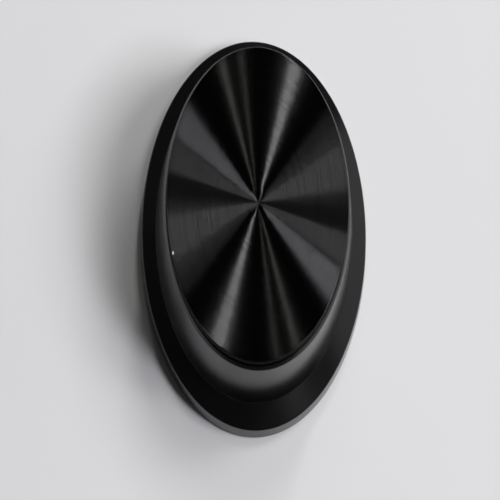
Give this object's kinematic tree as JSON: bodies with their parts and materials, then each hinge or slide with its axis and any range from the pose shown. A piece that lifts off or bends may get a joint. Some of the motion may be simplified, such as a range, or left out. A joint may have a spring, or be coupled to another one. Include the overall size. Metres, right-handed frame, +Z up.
{
  "type": "knob",
  "caption": "Oval push-on control knob with a raised spun face, a steep wall, a low flared skirt and a slotted hub for a 6 mm shaft.",
  "frame": {"origin": "centre of the base, on the plane that the knob stands on", "axes": "+Z up out of the face along the shaft, +Y along the oval's long axis, +X across it"},
  "size_m": [0.0288, 0.0516, 0.018],
  "materials": {
    "black_satin": "black anodised, satin",
    "black_spun": "black anodised, spun in fine rings",
    "black_moulding": "moulded, matt",
    "spring_steel": "bright spring steel"
  },
  "bodies": {
    "root": {"outer_shell": "black_satin", "face_plate": "black_spun", "hub_insert": "black_moulding", "hub_spring": "spring_steel"}
  },
  "joints": []
}
